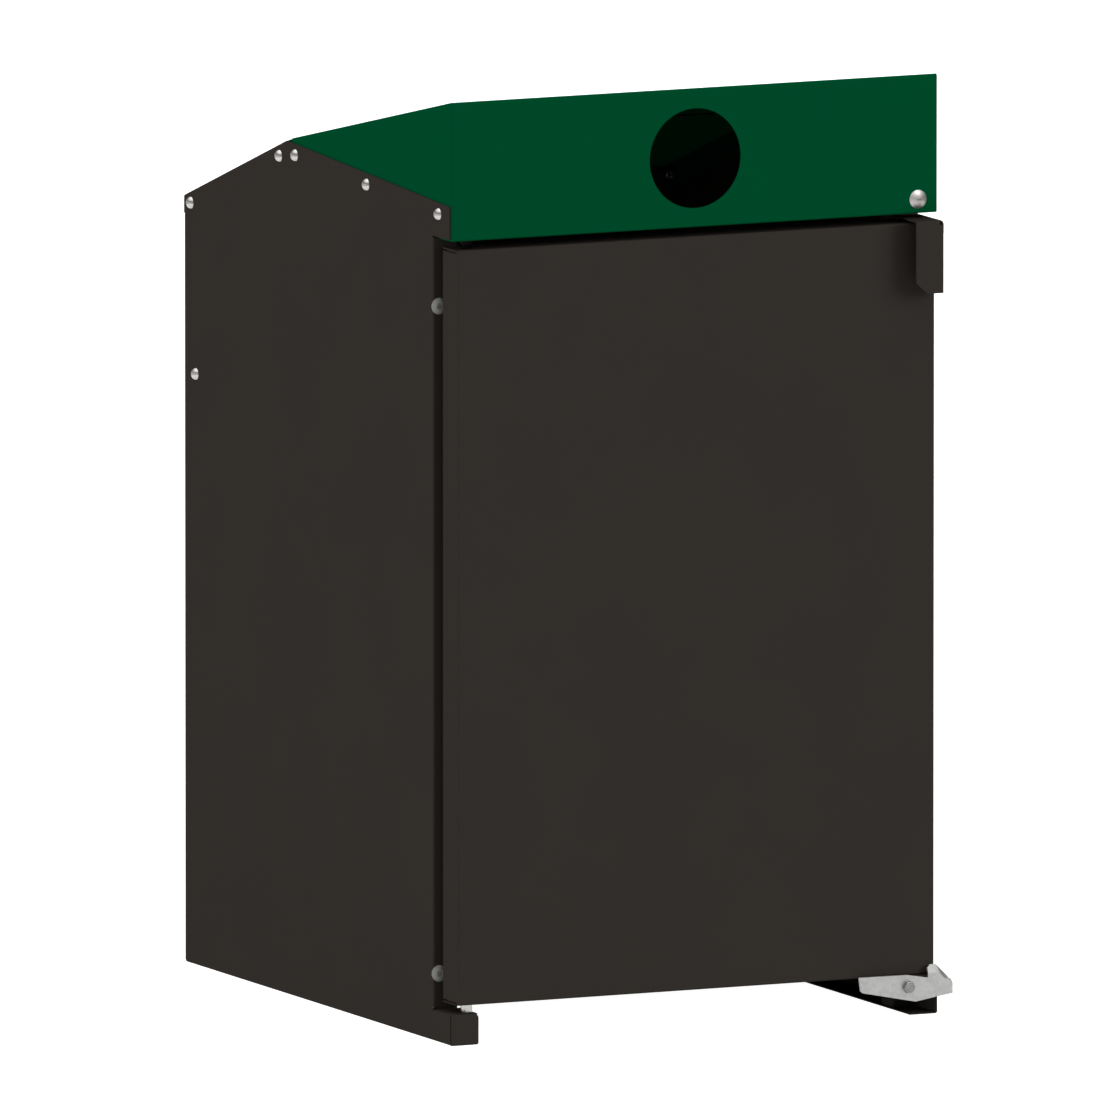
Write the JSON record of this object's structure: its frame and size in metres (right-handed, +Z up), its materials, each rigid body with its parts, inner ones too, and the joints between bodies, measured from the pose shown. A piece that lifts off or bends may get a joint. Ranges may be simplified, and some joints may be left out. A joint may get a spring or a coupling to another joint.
{
  "type": "bin shelter",
  "caption": "Folded steel bin shelter with a sloping hood, a round throw-in hole, a side-hung door with an edge handle and a pedal latch.",
  "frame": {"origin": "on the ground, at the centre of the rectangle of four anchor holes, which is the middle of the body", "axes": "+Z up, -Y towards the door side, +X towards the side with the handle, lock and pedal latch"},
  "size_m": [0.829, 0.9863, 1.4166],
  "materials": {
    "dark_powder_coat": "dark grey-brown powder coat, matt",
    "green_powder_coat": "deep green powder coat, matt",
    "zinc_plate": "zinc plated",
    "stainless": "bright stainless",
    "blackened_steel": "blackened",
    "grey_bolt_coat": "mid grey coated bolt head",
    "black_rubber": "matt",
    "galvanised_plate": "galvanised, light grey",
    "galvanised_bolt": "galvanised, mid grey"
  },
  "bodies": {
    "shelter": {"left_side_panel": "dark_powder_coat", "right_side_panel": "dark_powder_coat", "rear_panel": "dark_powder_coat", "hood": "green_powder_coat", "rear_roof": "green_powder_coat", "left_front_post": "dark_powder_coat", "right_front_post": "dark_powder_coat", "rear_cross_rail": "dark_powder_coat", "roof_bolts": "stainless", "roof_washers": "zinc_plate", "roof_nuts": "zinc_plate", "rail_bolts": "stainless", "rail_nuts": "zinc_plate", "rear_panel_bolts": "stainless", "rear_panel_nuts": "zinc_plate", "jamb_bolts": "grey_bolt_coat", "jamb_clinch_nuts": "zinc_plate", "foot_pivot_plate": "zinc_plate", "lower_pivot_pin": "stainless", "lower_pivot_nut": "zinc_plate", "hood_pivot_plate": "zinc_plate", "upper_pivot_pin": "blackened_steel", "upper_pivot_nut": "blackened_steel", "door_buffers": "black_rubber", "catch_pin": "zinc_plate", "lock_housing": "stainless", "lock_nut": "zinc_plate"},
    "door": {"door_panel": "dark_powder_coat", "door_stiffeners": "dark_powder_coat", "door_pivot_plates": "dark_powder_coat", "lower_door_bush": "stainless", "upper_door_bush": "blackened_steel", "door_handle": "dark_powder_coat", "handle_rivets": "blackened_steel", "latch_bracket": "dark_powder_coat", "bracket_screws": "blackened_steel", "bracket_nuts": "zinc_plate", "latch_bolt": "galvanised_bolt", "latch_washer": "zinc_plate", "latch_nut": "zinc_plate"},
    "pedal_latch": {"latch_plate": "galvanised_plate", "latch_stop_stud": "zinc_plate"},
    "lock": {"lock_barrel": "stainless", "lock_cam": "zinc_plate", "cam_screw": "zinc_plate"}
  },
  "joints": [
    {"name": "door_swing", "type": "hinge", "parent": "shelter", "child": "door", "pos_m": [-0.366, -0.4555, 0.06], "axis": [0, 0, -1], "range_deg": [0, 110]},
    {"name": "latch_pedal", "type": "hinge", "parent": "door", "child": "pedal_latch", "pos_m": [0.3466, -0.4875, 0.044], "axis": [0, -1, 0], "range_deg": [0, 30]},
    {"name": "lock_turn", "type": "hinge", "parent": "shelter", "child": "lock", "pos_m": [0.367, -0.4775, 1.2294], "axis": [0, -1, 0], "range_deg": [0, 90]}
  ]
}
